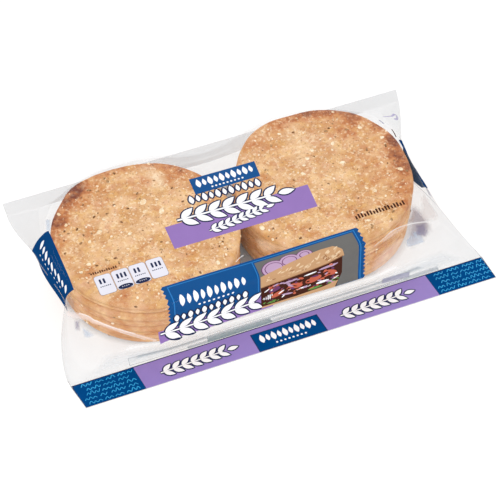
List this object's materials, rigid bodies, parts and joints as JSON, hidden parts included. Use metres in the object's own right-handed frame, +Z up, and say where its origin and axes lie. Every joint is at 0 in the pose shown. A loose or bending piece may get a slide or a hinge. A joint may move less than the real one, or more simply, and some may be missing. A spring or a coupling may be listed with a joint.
{
  "type": "flatbread pack",
  "caption": "Sealed clear film pack of flatbread rounds, two short stacks side by side, with printed labels and a printed flat seal along the front.",
  "frame": {"origin": "middle of the pack's bounding box, on the surface it lies on", "axes": "+X along the pair of stacks and the two pressed seals, +Y from the front seal with the printed band to the back seal, +Z up"},
  "size_m": [0.259, 0.1544, 0.0386],
  "materials": {
    "film": "clear glossy film, hazier and whiter along the pressed seals",
    "crust": "baked flatbread crust, golden tan with browned rims and pale flour",
    "oat": "pale rolled oat flakes and grains baked into the crust",
    "seed": "small dark seeds baked into the crust",
    "print_blue": "blue and navy ink printed on film",
    "print_purple": "purple ink printed on film",
    "print_white": "white ink printed on film",
    "print_picture": "grey panel with a simple printed sandwich, in plain fields of colour"
  },
  "bodies": {
    "root": {"bag": "film"}
  },
  "joints": []
}
